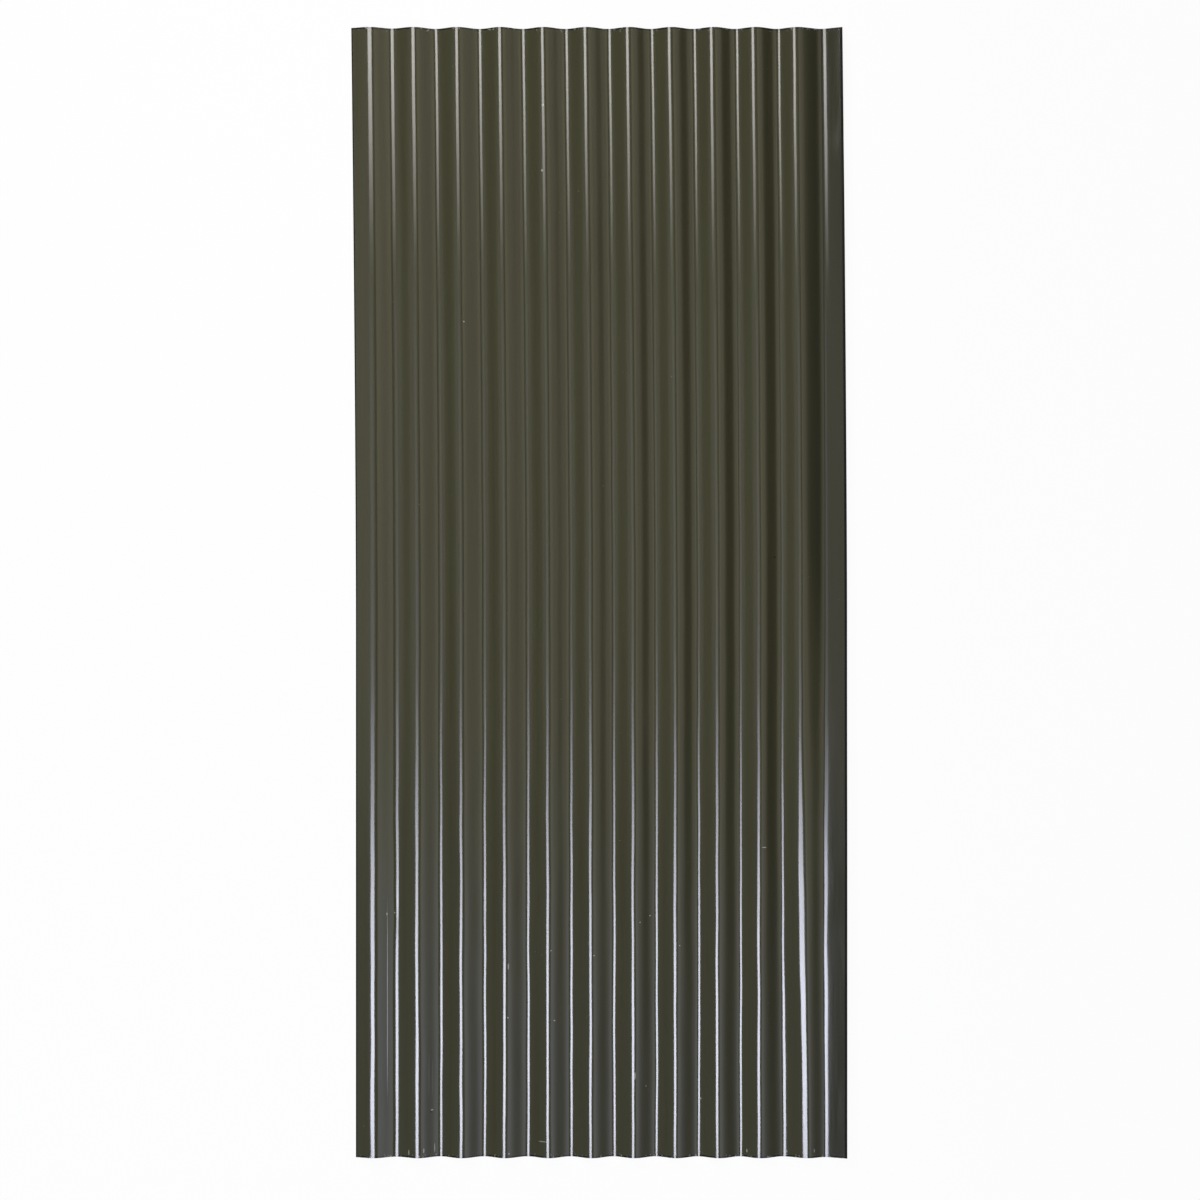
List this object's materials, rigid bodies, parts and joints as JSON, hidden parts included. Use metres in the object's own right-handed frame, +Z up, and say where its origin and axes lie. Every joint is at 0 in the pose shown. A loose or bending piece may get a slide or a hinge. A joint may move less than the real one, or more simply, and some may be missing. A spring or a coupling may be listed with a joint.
{
  "type": "corrugated roofing sheet",
  "caption": "Corrugated roofing sheet of olive-brown painted galvanised steel, rolled in even round waves, for laying on purlins with lapped edges.",
  "frame": {"origin": "middle of the sheet, on the plane that its valleys lie on", "axes": "+Y along the waves, +X across them to the edge that is turned up, +Z up out of the painted face"},
  "size_m": [0.8691, 2, 0.018],
  "materials": {
    "olive_paint": "gloss"
  },
  "bodies": {
    "root": {"corrugated_sheet": "olive_paint"}
  },
  "joints": []
}
